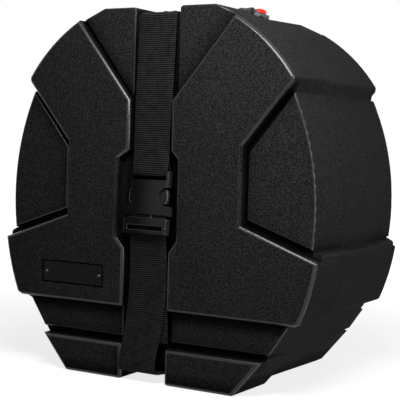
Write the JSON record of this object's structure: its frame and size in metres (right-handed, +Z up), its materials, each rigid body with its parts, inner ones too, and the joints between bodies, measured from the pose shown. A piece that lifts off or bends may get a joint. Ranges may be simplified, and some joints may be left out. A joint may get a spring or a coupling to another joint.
{
  "type": "drum case",
  "caption": "Moulded snare drum case with raised panels, a lid that slides off forwards, a webbing strap with a side-release buckle and a folding handle.",
  "frame": {"origin": "on the floor under the middle of the case's overall box", "axes": "+Z up, +Y from the lid's front to the base's rear, +X to the viewer's right"},
  "size_m": [0.4416, 0.2678, 0.4544],
  "materials": {
    "moulded_polyethylene": "stippled black moulded polyethylene",
    "webbing": "ribbed black polypropylene webbing",
    "acetal": "smooth black acetal",
    "red_insert": "smooth red plastic",
    "grip_plastic": "fine-grained black plastic",
    "plate": "black satin enamel",
    "zinc_steel": "zinc-plated steel",
    "black_steel": "black oxide steel",
    "foam": "charcoal closed-cell foam"
  },
  "bodies": {
    "base": {"base_shell": "moulded_polyethylene", "base_pad": "foam", "wall_pad_upper_left": "foam", "wall_pad_upper_right": "foam", "wall_pad_lower_left": "foam", "wall_pad_lower_right": "foam", "strap_base": "webbing", "handle_bracket_left": "grip_plastic", "handle_bracket_right": "grip_plastic", "handle_pin_left": "zinc_steel", "handle_pin_right": "zinc_steel", "handle_plate_left": "zinc_steel", "handle_plate_right": "zinc_steel", "handle_screws": "black_steel", "strap_rivets": "black_steel", "strap_washers": "zinc_steel"},
    "lid": {"lid_shell": "moulded_polyethylene", "lid_pad": "foam", "name_plate": "plate", "name_plate_rivets": "zinc_steel", "strap_front_upper": "webbing", "strap_front_lower": "webbing", "strap_tail": "webbing", "buckle_socket": "acetal", "buckle_plug": "acetal"},
    "prong_left": {"buckle_prong_left": "acetal"},
    "prong_right": {"buckle_prong_right": "acetal"},
    "handle": {"handle_grip": "grip_plastic", "handle_insert": "red_insert"}
  },
  "joints": [
    {"name": "lid_slide", "type": "slide", "parent": "base", "child": "lid", "axis": [0, -1, 0], "range_m": [0, 0.08]},
    {"name": "handle_fold", "type": "hinge", "parent": "base", "child": "handle", "pos_m": [0, 0.00242, 0.4482], "axis": [1, 0, 0], "range_deg": [0, 90]},
    {"name": "prong_left_squeeze", "type": "hinge", "parent": "lid", "child": "prong_left", "pos_m": [-0.01665, -0.12598, 0.20019], "axis": [0, 0.9877, -0.1564], "range_deg": [0, 10], "stiffness_Nm_per_rad": 0.5},
    {"name": "prong_right_squeeze", "type": "hinge", "parent": "lid", "child": "prong_right", "pos_m": [0.01585, -0.12598, 0.20019], "axis": [0, -0.9877, 0.1564], "range_deg": [0, 10], "stiffness_Nm_per_rad": 0.5}
  ],
  "couplings": [
    {"joint": "prong_right_squeeze", "follows": "prong_left_squeeze", "ratio": 1}
  ]
}
